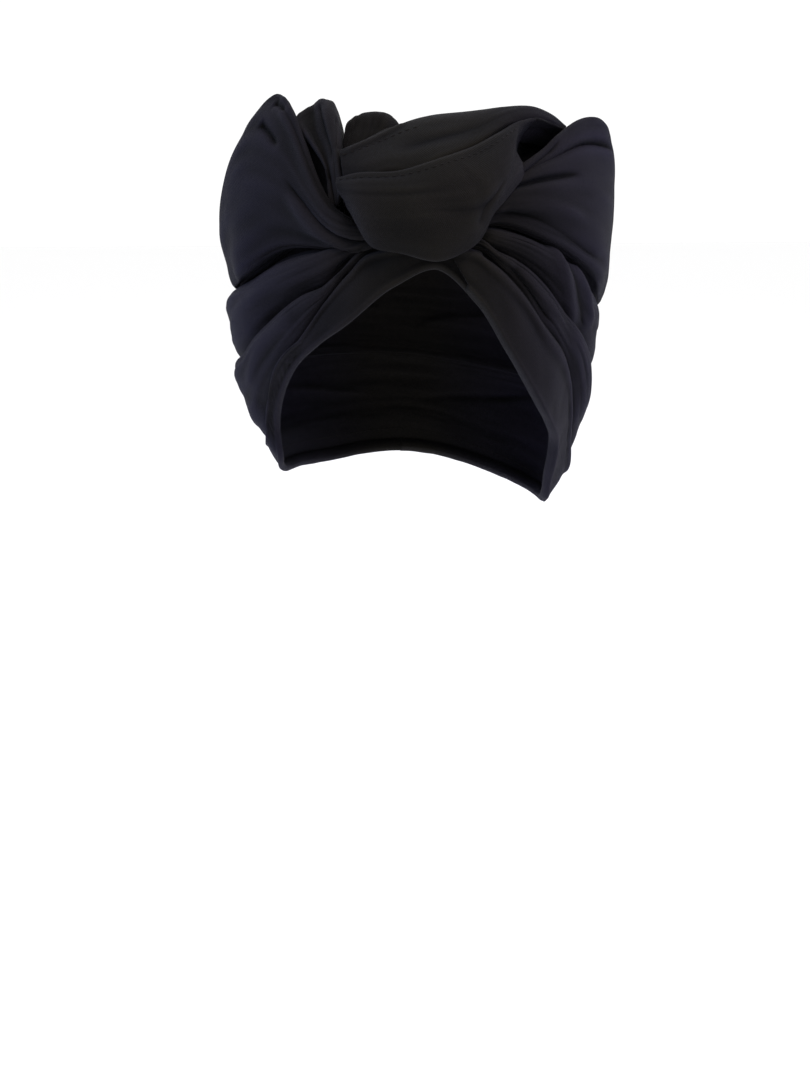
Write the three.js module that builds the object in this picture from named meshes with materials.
// A knotted turban headwrap, held in its worn form.
// Millimetres, +Z up, front towards -Y, +X to the viewer's right.
// The origin is the top of the head inside the crown.
//
// Nearly every point is given as three numbers seen from the middle of the head:
//   azimuth  degrees round from the front, positive towards +X
//   polar    degrees down from the crown
//   out      millimetres outside the head form
import * as THREE from "three";

// ---------------------------------------------------------------- driving dimensions

const HEAD = {
  halfWidth: 81, // a 57 cm head
  halfLength: 99,
  crownHeight: 95, // from the middle of the head up to the crown
  neckReach: 180, // how far down the sides run before they close in
  squareness: 2.3,
};
const HEAD_EASE = 0.8; // the cap's inner face stands this far off the head
const CAP_WALL = 2.0;
const LOOP_WALL = 1.8;
const BAND_WALL = 1.6;
const LAYER_GAP = 1.6; // air between one layer of cloth and the next

const BAND_GAP = 1.7; // air between a brow band and the cap under it
const BAND_OVERHANG = 1.2; // degrees that the bands reach below the cap's own rim
const BAND_MEET = 8; // the azimuth where the two bands meet in front
const BAND_SLIT = 0.3; // half the slit between their ends, in degrees

const CAP_COLUMNS = 60;
const CAP_ROWS = 16;
const CAP_ROW_CROWDING = 0.8; // under 1, the cap's rows lie closer together towards the rim
const CROWN_OUT = 2; // the cap lies this close over the top of the head
const CROWN_SHARE = 0.45; // the flat top reaches this share of the way to the shoulder
const UPPER_SHARE = 0.8; // and the cloth begins to rise at this share
const UPPER_OUT = 4;
const BAND_ROWS = 4;
const BAND_COLUMNS = 44;

// How finely each loose piece is drawn: rows along it, and columns across its cloth.
const WING_GRID = { rows: 19, columns: 13 };
const WRAP_GRID = { rows: 15, columns: 11 };
const FLAP_GRID = { rows: 13, columns: 11 };
const MIDDLE_RUFFLE_GRID = { rows: 12, columns: 10 };
const BACK_RUFFLE_GRID = { rows: 10, columns: 10 };

// The lower edge of the wrap: it peaks over the forehead and drops behind the ears.
const RIM = [
  { azimuth: -180, height: -186, out: 1 },
  { azimuth: -150, height: -185, out: 1 },
  { azimuth: -120, height: -178, out: 2 },
  { azimuth: -102, height: -173, out: 3 },
  { azimuth: -92, height: -167, out: 3 },
  { azimuth: -80, height: -155, out: 1 },
  { azimuth: -73, height: -134, out: 1 },
  { azimuth: -62, height: -114, out: 1 },
  { azimuth: -47, height: -91, out: 1 },
  { azimuth: -25, height: -67, out: 1 },
  { azimuth: -12, height: -53, out: 1 },
  { azimuth: 0, height: -43, out: 1 },
  { azimuth: 12, height: -57, out: 1 },
  { azimuth: 30, height: -92, out: 1 },
  { azimuth: 44, height: -111, out: 1 },
  { azimuth: 60, height: -135, out: 1 },
  { azimuth: 72, height: -165, out: 2 },
  { azimuth: 85, height: -187, out: 8 },
  { azimuth: 100, height: -195, out: 13 },
  { azimuth: 135, height: -193, out: 5 },
  { azimuth: 180, height: -186, out: 1 },
];

// The cap in sections round the head. Each section names the lines that run back from
// the knot, from the top edge of the brow band up to the foot of the side wing.
const FOLD_LINES = ["band", "lowRidge", "valley", "ridge", "shoulder"];
const CAP_SECTIONS = [
  { azimuth: -180, polar: [124, 114, 102, 90, 76], out: [2, 5, 4, 5, 3] },
  { azimuth: -150, polar: [125, 114, 101, 89, 74], out: [3, 8, 6, 8, 5] },
  { azimuth: -120, polar: [124, 112, 100, 87, 72], out: [6, 15, 13, 16, 9] },
  { azimuth: -98, polar: [122, 110, 98, 85, 69], out: [10, 21, 20, 23, 14] },
  { azimuth: -80, polar: [115, 103, 90, 77, 66], out: [9, 22, 20, 22, 13] },
  { azimuth: -68, polar: [104, 93, 83, 73, 62], out: [3, 14, 9, 18, 11] },
  { azimuth: -50, polar: [84, 79, 74, 66, 58], out: [2.5, 8, 4, 14, 8] },
  { azimuth: -31, polar: [71, 68, 65.5, 62, 57], out: [4, 7, 4, 10, 7] },
  { azimuth: -18, polar: [62, 60, 58.5, 57, 54], out: [6, 7, 6, 7, 6] },
  { azimuth: 0, polar: [57, 56, 54, 52, 48], out: [5, 5, 5, 5, 5] },
  { azimuth: 12, polar: [60, 59, 57, 55, 50], out: [6, 7, 6, 7, 6] },
  { azimuth: 25, polar: [68.5, 65.5, 62, 58, 52.5], out: [5, 8, 5, 11, 7] },
  { azimuth: 42, polar: [81.5, 76, 69.5, 64, 57], out: [4, 9, 5, 12, 8] },
  { azimuth: 60, polar: [101, 90, 82, 74, 62], out: [8, 12, 8, 13, 9] },
  { azimuth: 75, polar: [117, 105, 94, 83, 70], out: [17, 23, 18, 19, 11] },
  { azimuth: 92, polar: [129, 116, 103, 90, 76], out: [23, 27, 24, 26, 15] },
  { azimuth: 110, polar: [132, 120, 107, 94, 78], out: [21, 26, 21, 22, 13] },
  { azimuth: 140, polar: [130, 119, 106, 94, 78], out: [8, 13, 9, 12, 7] },
  { azimuth: 180, polar: [124, 114, 102, 90, 76], out: [2, 5, 4, 5, 3] },
];

// The side wings in sections from the knot back round the head. Each section climbs
// from a hem tucked in on the cap, over the belly to the crest, turns over there and
// comes down inside to a foot on the crown.
const WING_LINES = ["hem", "edge", "belly", "crest", "turn", "foot"];
const LEFT_WING = [
  {
    azimuth: [-9, -9, -11, -12, -12, -12],
    polar: [57, 56, 54, 52, 51, 50.5],
    out: [10, 11, 12, 12, 11, 10],
  },
  {
    azimuth: [-26, -26, -27, -29, -28, -27],
    polar: [61, 59, 55, 50, 48.5, 49],
    out: [10, 18, 23, 25, 19, 10],
  },
  {
    azimuth: [-46, -46, -46, -47, -45, -43],
    polar: [60, 57.5, 47, 38, 36, 39],
    out: [9, 20, 34, 42, 34, 8],
  },
  {
    azimuth: [-61, -61, -61, -59, -57, -54],
    polar: [62, 59, 45, 34, 31, 34],
    out: [11, 22, 42, 52, 43, 6],
  },
  {
    azimuth: [-81, -81, -80, -76, -70, -64],
    polar: [69, 66, 53, 38, 31, 33],
    out: [13, 29, 43, 49, 38, 6],
  },
  {
    azimuth: [-104, -104, -103, -100, -93, -88],
    polar: [73, 70, 56, 42, 35, 36],
    out: [12, 23, 34, 37, 28, 5],
  },
  {
    azimuth: [-135, -135, -134, -132, -128, -124],
    polar: [76, 73, 61, 47, 41, 42],
    out: [8, 12, 17, 19, 15, 4],
  },
  {
    azimuth: [-164, -164, -164, -164, -163, -162],
    polar: [78, 75, 67, 57, 53, 53],
    out: [5, 7, 9, 9, 7, 4],
  },
];
const RIGHT_WING = [
  {
    azimuth: [4, 4, 6, 8, 8, 8],
    polar: [55.5, 54.5, 51.5, 48.5, 47.5, 47],
    out: [10, 12, 14, 14, 12, 10],
  },
  {
    azimuth: [19, 19, 19, 19, 18, 18],
    polar: [53.5, 52, 49, 45.5, 44, 44.5],
    out: [10, 17, 22, 25, 19, 10],
  },
  {
    azimuth: [37, 37, 36, 36, 34, 34],
    polar: [59, 56.5, 49, 42, 40, 41],
    out: [10, 19, 28, 36, 28, 8],
  },
  {
    azimuth: [57, 57, 56, 57, 55, 52],
    polar: [63, 60, 50, 39.5, 36.5, 37.5],
    out: [9, 19, 34, 46, 38, 6],
  },
  {
    azimuth: [72, 72, 73, 71, 67, 63],
    polar: [71, 68.5, 55, 42, 36, 37],
    out: [11, 20, 40, 53, 43, 6],
  },
  {
    azimuth: [90, 90, 90, 87, 80, 75],
    polar: [79, 77, 62, 45, 38, 39],
    out: [16, 27, 36, 45, 36, 6],
  },
  {
    azimuth: [112, 112, 111, 108, 101, 96],
    polar: [82, 79, 65, 49, 41, 42],
    out: [12, 19, 26, 31, 24, 5],
  },
  {
    azimuth: [138, 138, 137, 134, 130, 128],
    polar: [83, 80, 69, 55, 49, 49],
    out: [8, 11, 15, 16, 13, 4],
  },
  {
    azimuth: [164, 164, 164, 163, 162, 162],
    polar: [82, 79, 72, 63, 59, 59],
    out: [5, 6.5, 8, 8, 6.5, 4],
  },
];

// The knot's wrap in sections from its left edge to the lip at its right. Each section
// runs from its underside over the front to the folded top edge and its turned hem.
const WRAP_LINES = ["under", "low", "belly", "top", "hem"];
const KNOT_WRAP = [
  { x: [-38, -40, -42, -43, -41], y: [-93, -96, -95, -91, -86], z: [-19, -20, -13, -7, -9] },
  { x: [-29, -31, -33, -34, -33], y: [-96, -100, -102, -95, -90], z: [-28, -29, -18, -5, -8] },
  { x: [-15, -16, -16, -16, -16], y: [-97, -102, -106, -98, -93], z: [-33, -33, -17, -3.5, -7] },
  { x: [-2, -2, -1, 0, 0], y: [-98, -104, -108, -98, -93], z: [-34, -34.5, -16, -1, -5] },
  { x: [9, 9, 14, 17, 17], y: [-97, -102, -107, -93, -88], z: [-32, -32.5, -14, 3.5, -1] },
  { x: [18, 20, 28, 32, 31], y: [-95, -99, -103, -84, -79], z: [-27, -27, -9, 9, 4] },
  { x: [34, 37, 41, 45, 43], y: [-92, -95, -90, -73, -69], z: [-2, -1, 6, 14, 10] },
  { x: [51, 53, 56, 58, 56], y: [-70, -74, -70, -61, -58], z: [11, 12, 16, 19, 15] },
  { x: [61, 63, 65, 67, 65], y: [-57, -61, -59, -55, -52], z: [15, 15.5, 17.5, 19.5, 17] },
];

// The upper flap in sections from its left corner to its right end. Each section rises
// behind the wrap, turns over at the crest and runs back and down onto the crown.
const FLAP_LINES = ["foot", "front", "crest", "back", "rest"];
const KNOT_FLAP = [
  { x: [-38, -40, -41, -40, -39], y: [-79, -84, -80, -74, -70], z: [-10, -3, 4, 4, 2] },
  { x: [-27, -27, -25, -24, -23], y: [-83, -88, -80, -68, -58], z: [-10, -1, 12, 15, 12] },
  { x: [0, 0, -1, -1, 0], y: [-84, -88, -71, -42, -14], z: [-8, 6, 20, 17, 9] },
  { x: [18, 19, 18, 16, 15], y: [-78, -81, -64, -34, -8], z: [-4, 10, 23.5, 18, 9] },
  { x: [38, 41, 40, 36, 32], y: [-62, -66, -56, -30, -8], z: [2, 16, 25, 19, 8] },
  { x: [49, 57, 58, 52, 45], y: [-48, -54, -47, -28, -12], z: [2, 16, 22.5, 17, 6] },
  { x: [53, 63, 67, 61, 52], y: [-39, -45, -40, -27, -14], z: [2, 13, 17.5, 13, 4] },
];

// The two ruffles in sections from the knot up over the crest and back along the crown.
const RUFFLE_LINES = ["left", "leftFace", "top", "rightFace", "right"];
const MIDDLE_RUFFLE = [
  { x: [-42.5, -42, -41.5, -41, -41], y: [-74, -76, -77, -77, -75], z: [-13, -12, -11, -11, -12] },
  { x: [-46, -48, -46, -43, -42], y: [-62, -65, -67, -66, -63], z: [-1, 5, 10, 8, 4] },
  { x: [-49, -52, -47, -41, -40], y: [-46, -48, -50, -51, -48], z: [6, 16, 25, 20, 10] },
  { x: [-48, -52, -46, -39, -37], y: [-30, -34, -38, -38, -33], z: [6, 17, 29, 21, 10] },
  { x: [-46, -50, -44, -37, -35], y: [-8, -12, -14, -14, -8], z: [4, 12, 20, 15, 8] },
  { x: [-44, -45, -41, -36, -35], y: [22, 20, 20, 20, 22], z: [2, 5, 8, 8, 6] },
];
const BACK_RUFFLE = [
  { x: [-35, -35, -32, -28, -27], y: [-52, -54, -54, -53, -51], z: [7, 10, 15, 13, 10] },
  { x: [-35, -36, -29, -18, -16], y: [-42, -43, -44, -44, -42], z: [9, 16, 24, 21, 19] },
  { x: [-33, -35, -26, -13, -10], y: [-32, -34, -35, -35, -33], z: [10, 18, 28, 23, 19] },
  { x: [-31, -33, -24, -12, -8], y: [-6, -10, -12, -12, -8], z: [9, 13, 20, 16, 11] },
  { x: [-30, -30, -23, -14, -12], y: [26, 24, 24, 24, 26], z: [6, 7, 9, 9, 8] },
];

// ---------------------------------------------------------------- the head form

const rad = THREE.MathUtils.degToRad;
const deg = THREE.MathUtils.radToDeg;

function headRadius(azimuth, polar) {
  const level = Math.hypot(
    Math.sin(rad(azimuth)) / HEAD.halfWidth,
    Math.cos(rad(azimuth)) / HEAD.halfLength,
  );
  const reach = polar <= 90 ? HEAD.crownHeight : HEAD.neckReach;
  const across = Math.sin(rad(polar)) * level;
  const upright = Math.abs(Math.cos(rad(polar))) / reach;
  const n = HEAD.squareness;
  return (across ** n + upright ** n) ** (-1 / n);
}

function place(azimuth, polar, out) {
  const r = headRadius(azimuth, polar) + out;
  const level = r * Math.sin(rad(polar));
  return new THREE.Vector3(
    level * Math.sin(rad(azimuth)),
    -level * Math.cos(rad(azimuth)),
    r * Math.cos(rad(polar)) - HEAD.crownHeight,
  );
}

function locate(point) {
  const z = point.z + HEAD.crownHeight;
  const level = Math.hypot(point.x, point.y);
  const azimuth = deg(Math.atan2(point.x, -point.y));
  const polar = deg(Math.atan2(level, z));
  return { azimuth, polar, out: Math.hypot(level, z) - headRadius(azimuth, polar) };
}

// ---------------------------------------------------------------- smooth tables

function catmull(a, b, c, d, t) {
  return (
    0.5 *
    (2 * b + (c - a) * t + (2 * a - 5 * b + 4 * c - d) * t * t + (3 * b - a - 3 * c + d) * t ** 3)
  );
}

// A smooth value through evenly numbered knots, at position s from 0 to the last one.
function through(values, s) {
  const last = values.length - 1;
  const i = Math.min(Math.floor(s), last - 1);
  const at = (k) => values[Math.max(0, Math.min(last, k))];
  return catmull(at(i - 1), at(i), at(i + 1), at(i + 2), s - i);
}

// Where an azimuth falls among the rows of a table that runs once round the head.
function station(table, azimuth) {
  let i = 0;
  while (i < table.length - 2 && azimuth > table[i + 1].azimuth) i += 1;
  return i + (azimuth - table[i].azimuth) / (table[i + 1].azimuth - table[i].azimuth);
}

// The same with plain straight runs between the knots.
function along(values, s) {
  const i = Math.min(Math.floor(s), values.length - 2);
  return THREE.MathUtils.lerp(values[i], values[i + 1], s - i);
}

// ---------------------------------------------------------------- the cap's surface

function rimPolar(azimuth) {
  const height = along(RIM.map((row) => row.height), station(RIM, azimuth));
  const bandOut = rimOut(azimuth) + HEAD_EASE + CAP_WALL + BAND_GAP + BAND_WALL;
  let low = 20;
  let high = 165;
  for (let step = 0; step < 30; step += 1) {
    const mid = (low + high) / 2;
    if (place(azimuth, mid, bandOut).z > height) low = mid;
    else high = mid;
  }
  return (low + high) / 2;
}

function rimOut(azimuth) {
  return along(RIM.map((row) => row.out), station(RIM, azimuth));
}

// The section of the cap at one azimuth: polar angles and outs from crown to rim.
function capSection(azimuth) {
  const s = station(CAP_SECTIONS, azimuth);
  const line = (kind, i) => along(CAP_SECTIONS.map((row) => row[kind][i]), s);
  const polar = [0];
  const out = [CROWN_OUT];
  const shoulder = line("polar", FOLD_LINES.length - 1);
  polar.push(shoulder * CROWN_SHARE, shoulder * UPPER_SHARE);
  out.push(CROWN_OUT, Math.min(UPPER_OUT, line("out", FOLD_LINES.length - 1)));
  for (let i = FOLD_LINES.length - 1; i >= 0; i -= 1) {
    polar.push(line("polar", i));
    out.push(line("out", i));
  }
  polar.push(rimPolar(azimuth) - BAND_OVERHANG);
  out.push(rimOut(azimuth));
  return { polar, out };
}

// How far the cap's middle stands off the head at a place.
function capOut(section, polar) {
  const last = section.polar.length - 1;
  let i = 0;
  while (i < last - 1 && polar > section.polar[i + 1]) i += 1;
  const span = section.polar[i + 1] - section.polar[i];
  const t = THREE.MathUtils.clamp((polar - section.polar[i]) / span, 0, 1);
  return THREE.MathUtils.lerp(section.out[i], section.out[i + 1], t * t * (3 - 2 * t));
}

// The cap as it is built: one column of polar angles and outs for each azimuth.
const CAP_COLUMN = Array.from({ length: CAP_COLUMNS }, (_, c) => {
  const section = capSection(-180 + (360 * c) / CAP_COLUMNS);
  const rim = section.polar[section.polar.length - 1];
  const share = (r) => (r / CAP_ROWS) ** CAP_ROW_CROWDING;
  const polar = Array.from({ length: CAP_ROWS + 1 }, (__, r) => rim * share(r));
  return { polar, out: polar.map((angle) => capOut(section, angle)) };
});

// How far out the cap's middle stands at any place on it.
function capAt(azimuth, polar) {
  const s = ((azimuth + 180) / 360) * CAP_COLUMNS;
  const outOf = (column) => {
    const last = CAP_ROWS;
    let i = 0;
    while (i < last - 1 && polar > column.polar[i + 1]) i += 1;
    const t = (polar - column.polar[i]) / (column.polar[i + 1] - column.polar[i]);
    return THREE.MathUtils.lerp(column.out[i], column.out[i + 1], THREE.MathUtils.clamp(t, 0, 1));
  };
  const c = Math.floor(s);
  const near = outOf(CAP_COLUMN[c % CAP_COLUMNS]);
  const next = outOf(CAP_COLUMN[(c + 1) % CAP_COLUMNS]);
  return HEAD_EASE + CAP_WALL / 2 + THREE.MathUtils.lerp(near, next, s - c);
}

// Lifts a point of a loose layer clear of the cap.
function clearOfCap(point, wall) {
  const seen = locate(point);
  const floor = capAt(seen.azimuth, seen.polar) + CAP_WALL / 2 + LAYER_GAP + wall / 2;
  return seen.out >= floor ? point : place(seen.azimuth, seen.polar, floor);
}

// ---------------------------------------------------------------- cloth walls

// A closed solid from a grid of points on the middle of the cloth. A ring grid joins
// its last column to its first; a pole closes its first row to one point.
function clothWall(grid, wall, { ring = false, pole = false } = {}) {
  const rows = grid.length;
  const columns = grid[0].length;
  const wrap = (j) => (ring ? (j + columns) % columns : Math.max(0, Math.min(columns - 1, j)));
  const at = (i, j) => grid[Math.max(0, Math.min(rows - 1, i))][wrap(j)];
  const positions = [];
  const ids = [[], []];
  for (let i = 0; i < rows; i += 1) {
    ids.forEach((side) => side.push([]));
    for (let j = 0; j < columns; j += 1) {
      const onPole = pole && i === 0;
      if (onPole && j > 0) {
        ids.forEach((side) => side[i].push(side[i][0]));
        continue;
      }
      const across = at(i, j + 1).clone().sub(at(i, j - 1));
      const down = at(i + 1, j).clone().sub(at(i - 1, j));
      const normal = onPole ? new THREE.Vector3(0, 0, 1) : down.cross(across).normalize();
      [1, -1].forEach((sign, side) => {
        const point = at(i, j).clone().addScaledVector(normal, (sign * wall) / 2);
        ids[side][i].push(positions.length / 3);
        positions.push(point.x, point.y, point.z);
      });
    }
  }
  const index = [];
  const triangle = (a, b, c) => {
    if (a !== b && b !== c && c !== a) index.push(a, b, c);
  };
  const quad = (a, b, c, d) => {
    triangle(a, b, c);
    triangle(a, c, d);
  };
  const spans = ring ? columns : columns - 1;
  const [outer, inner] = ids;
  for (let i = 0; i < rows - 1; i += 1) {
    for (let j = 0; j < spans; j += 1) {
      const k = wrap(j + 1);
      quad(outer[i][j], outer[i + 1][j], outer[i + 1][k], outer[i][k]);
      quad(inner[i][j], inner[i][k], inner[i + 1][k], inner[i + 1][j]);
    }
  }
  for (let j = 0; j < spans; j += 1) {
    const k = wrap(j + 1);
    const end = rows - 1;
    quad(outer[end][j], inner[end][j], inner[end][k], outer[end][k]);
    if (!pole) quad(outer[0][k], inner[0][k], inner[0][j], outer[0][j]);
  }
  if (!ring) {
    for (let i = 0; i < rows - 1; i += 1) {
      const end = columns - 1;
      quad(outer[i][0], inner[i][0], inner[i + 1][0], outer[i + 1][0]);
      quad(outer[i + 1][end], inner[i + 1][end], inner[i][end], outer[i][end]);
    }
  }
  const geometry = new THREE.BufferGeometry();
  geometry.setAttribute("position", new THREE.Float32BufferAttribute(positions, 3));
  geometry.setIndex(index);
  geometry.computeVertexNormals();
  return geometry;
}

// A smooth grid through a table whose rows are sections and whose columns are points.
function loft(sections, pointOf, columnCount, { rows, columns }) {
  const knots = sections.map((section) =>
    Array.from({ length: columnCount }, (_, i) => pointOf(section, i)),
  );
  const grid = [];
  for (let r = 0; r < rows; r += 1) {
    const s = (r / (rows - 1)) * (knots.length - 1);
    const line = [];
    for (let c = 0; c < columns; c += 1) {
      const t = (c / (columns - 1)) * (columnCount - 1);
      const smooth = (axis) => through(knots.map((row) => through(row.map((p) => p[axis]), t)), s);
      line.push(new THREE.Vector3(smooth("x"), smooth("y"), smooth("z")));
    }
    grid.push(line);
  }
  return grid;
}

const polarPoint = (section, i) => place(section.azimuth[i], section.polar[i], section.out[i]);
const plainPoint = (section, i) => new THREE.Vector3(section.x[i], section.y[i], section.z[i]);

// ---------------------------------------------------------------- the pieces

function crownCap() {
  const grid = Array.from({ length: CAP_ROWS + 1 }, (_, r) =>
    CAP_COLUMN.map((column, c) => {
      const azimuth = -180 + (360 * c) / CAP_COLUMNS;
      return place(azimuth, column.polar[r], HEAD_EASE + CAP_WALL / 2 + column.out[r]);
    }),
  );
  return clothWall(grid, CAP_WALL, { ring: true, pole: true });
}

// A brow band: a strip along the rim, from the front meeting line round to the nape.
function browBand(from, to) {
  const grid = [];
  for (let r = 0; r <= BAND_ROWS; r += 1) {
    const line = [];
    for (let c = 0; c <= BAND_COLUMNS; c += 1) {
      const azimuth = THREE.MathUtils.lerp(from, to, c / BAND_COLUMNS);
      const section = capSection(azimuth);
      const rim = section.polar[section.polar.length - 1] + BAND_OVERHANG;
      const top = section.polar[section.polar.length - 2];
      const polar = THREE.MathUtils.lerp(top, rim, r / BAND_ROWS);
      const lift = CAP_WALL / 2 + BAND_GAP + BAND_WALL / 2;
      line.push(place(azimuth, polar, capAt(azimuth, polar) + lift));
    }
    grid.push(line);
  }
  return clothWall(grid, BAND_WALL);
}

function sideWing(sections) {
  const grid = loft(sections, polarPoint, WING_LINES.length, WING_GRID);
  return grid.map((row) => row.map((point) => clearOfCap(point, LOOP_WALL)));
}

function looseLoop(sections, columnCount, size) {
  const grid = loft(sections, plainPoint, columnCount, size);
  return grid.map((row) => row.map((point) => clearOfCap(point, LOOP_WALL)));
}

const group = new THREE.Group();
const cloth = new THREE.MeshStandardMaterial({ color: 0x1a1a21, roughness: 0.78, metalness: 0 });

function add(name, geometry) {
  const mesh = new THREE.Mesh(geometry, cloth.clone());
  mesh.name = name;
  group.add(mesh);
}

add("crown_cap", crownCap());
add("brow_band_left", browBand(BAND_MEET - BAND_SLIT, -180 + BAND_SLIT));
add("brow_band_right", browBand(BAND_MEET + BAND_SLIT, 180 - BAND_SLIT));
add("left_wing", clothWall(sideWing(LEFT_WING), LOOP_WALL));
add("right_wing", clothWall(sideWing(RIGHT_WING), LOOP_WALL));
add("knot_wrap", clothWall(looseLoop(KNOT_WRAP, WRAP_LINES.length, WRAP_GRID), LOOP_WALL));
add("knot_flap", clothWall(looseLoop(KNOT_FLAP, FLAP_LINES.length, FLAP_GRID), LOOP_WALL));
const middleRuffle = looseLoop(MIDDLE_RUFFLE, RUFFLE_LINES.length, MIDDLE_RUFFLE_GRID);
const backRuffle = looseLoop(BACK_RUFFLE, RUFFLE_LINES.length, BACK_RUFFLE_GRID);
add("middle_ruffle", clothWall(middleRuffle, LOOP_WALL));
add("back_ruffle", clothWall(backRuffle, LOOP_WALL));

export default group;
